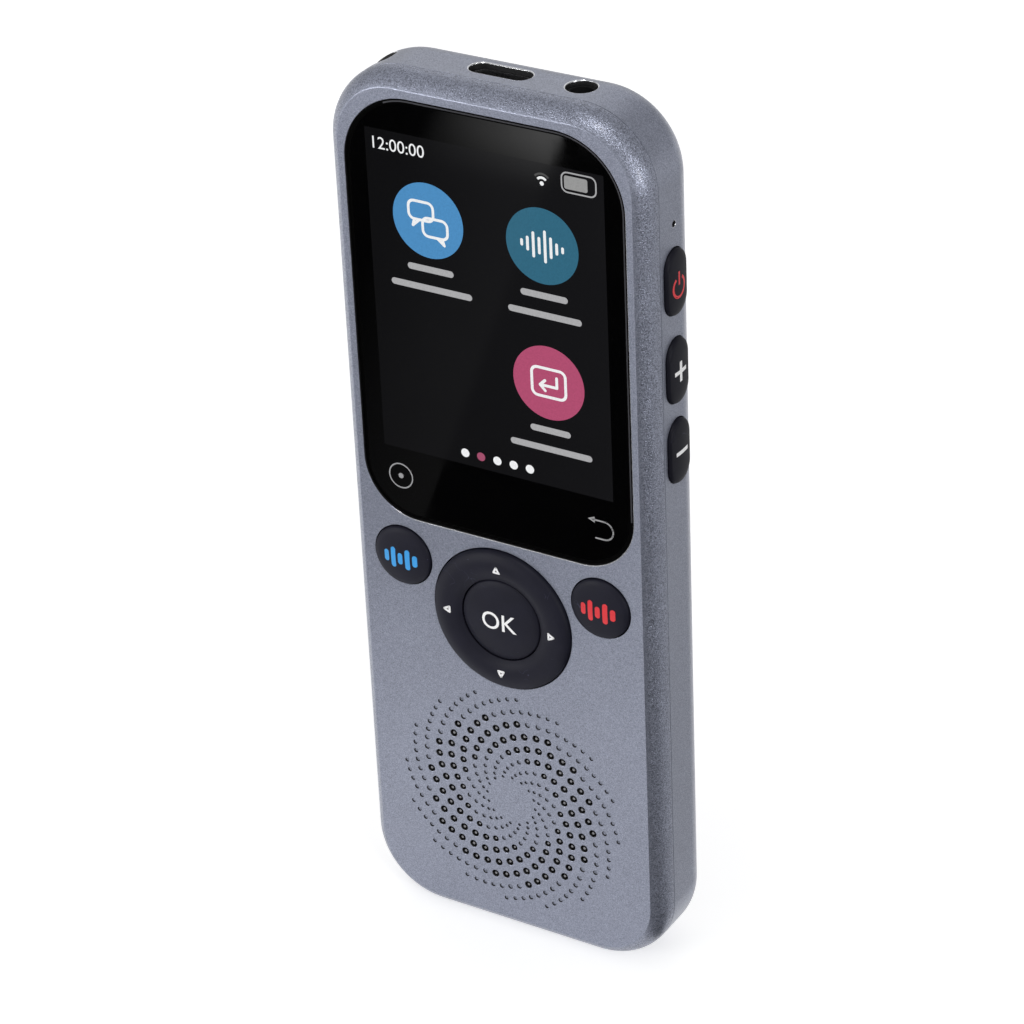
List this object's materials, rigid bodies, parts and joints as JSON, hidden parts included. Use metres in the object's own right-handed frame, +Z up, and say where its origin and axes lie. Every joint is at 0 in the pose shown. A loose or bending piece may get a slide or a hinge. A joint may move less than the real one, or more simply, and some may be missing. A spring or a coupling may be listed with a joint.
{
  "type": "handheld translator",
  "caption": "Handheld voice translator with a colour screen, a round direction pad, voice buttons, side buttons, a speaker behind a spiral of holes, and a charging and audio socket on top.",
  "frame": {"origin": "centre of the lower end, halfway between the front of the keypad and the back", "axes": "+Z up along the length, +Y from the screen to the back, +X to the right seen from the front"},
  "size_m": [0.0518, 0.0156, 0.138],
  "materials": {
    "case_paint": "moulded plastic under bluish grey metallic paint with a fine sparkle",
    "screen_glass": "polished black-backed cover glass",
    "display": "lit display panel, mostly glass, behind the cover glass",
    "key_rubber": "smooth matt black silicone rubber",
    "black_plastic": "moulded black plastic",
    "white_plastic": "moulded pale plastic",
    "black_foam": "dense black foam and adhesive",
    "steel": "stamped and turned steel",
    "socket_steel": "drawn stainless steel",
    "speaker_mesh": "fine woven mesh, blackened",
    "speaker_cone": "pressed paper cone",
    "circuit_board": "green solder mask",
    "flex_film": "amber polyimide film",
    "battery_pouch": "laminated aluminium pouch",
    "wire_red": "insulated wire",
    "keypad_rubber": "translucent grey silicone rubber"
  },
  "bodies": {
    "root": {"front_shell": "case_paint", "rear_shell": "case_paint", "screen_glass": "screen_glass", "screen_tape": "black_foam", "display_panel": "display", "display_backplate": "steel", "display_flex": "flex_film", "display_connector": "black_plastic", "main_board": "circuit_board", "processor_shield": "steel", "radio_shield": "steel", "antenna_strip": "flex_film", "battery_cell": "battery_pouch", "battery_pad": "black_foam", "battery_board": "circuit_board", "battery_lead": "wire_red", "battery_connector": "white_plastic", "speaker_mesh": "speaker_mesh", "speaker_gasket": "black_foam", "speaker_frame": "steel", "speaker_cone": "speaker_cone", "speaker_retainer": "black_plastic", "speaker_screws": "steel", "board_screws": "steel", "usb_socket": "socket_steel", "usb_tongue": "black_plastic", "audio_socket": "black_plastic", "microphone": "steel", "microphone_boot": "black_foam", "lanyard_bar": "steel", "keypad_mat": "keypad_rubber", "key_domes": "steel", "side_switches": "steel", "side_switch_board": "flex_film"},
    "dpad_rocker": {"dpad_rocker": "white_plastic"},
    "dpad_cap": {"dpad_cap": "key_rubber"},
    "ok_button": {"ok_button": "key_rubber"},
    "voice_button_left": {"voice_button_left": "key_rubber"},
    "voice_button_right": {"voice_button_right": "key_rubber"},
    "power_button": {"power_button": "key_rubber"},
    "volume_up_button": {"volume_up_button": "key_rubber"},
    "volume_down_button": {"volume_down_button": "key_rubber"}
  },
  "joints": [
    {"name": "dpad_up_down", "type": "hinge", "parent": "root", "child": "dpad_rocker", "pos_m": [0, -0.0042, 0.0554], "axis": [1, 0, 0], "range_deg": [-1.5, 1.5], "stiffness_Nm_per_rad": 0.012},
    {"name": "dpad_left_right", "type": "hinge", "parent": "dpad_rocker", "child": "dpad_cap", "pos_m": [0, -0.0045, 0.0554], "axis": [0, 0, 1], "range_deg": [-1.5, 1.5], "stiffness_Nm_per_rad": 0.012},
    {"name": "ok_press", "type": "slide", "parent": "root", "child": "ok_button", "axis": [0, 1, 0], "range_m": [0, 0.0004], "stiffness_N_per_m": 120, "springref_m": -0.0003},
    {"name": "voice_left_press", "type": "slide", "parent": "root", "child": "voice_button_left", "axis": [0, 1, 0], "range_m": [0, 0.00035], "stiffness_N_per_m": 120, "springref_m": -0.0003},
    {"name": "voice_right_press", "type": "slide", "parent": "root", "child": "voice_button_right", "axis": [0, 1, 0], "range_m": [0, 0.00035], "stiffness_N_per_m": 120, "springref_m": -0.0003},
    {"name": "power_press", "type": "slide", "parent": "root", "child": "power_button", "axis": [-1, 0, 0], "range_m": [0, 0.0004], "stiffness_N_per_m": 120, "springref_m": -0.0003},
    {"name": "volume_up_press", "type": "slide", "parent": "root", "child": "volume_up_button", "axis": [-1, 0, 0], "range_m": [0, 0.0004], "stiffness_N_per_m": 120, "springref_m": -0.0003},
    {"name": "volume_down_press", "type": "slide", "parent": "root", "child": "volume_down_button", "axis": [-1, 0, 0], "range_m": [0, 0.0004], "stiffness_N_per_m": 120, "springref_m": -0.0003}
  ]
}
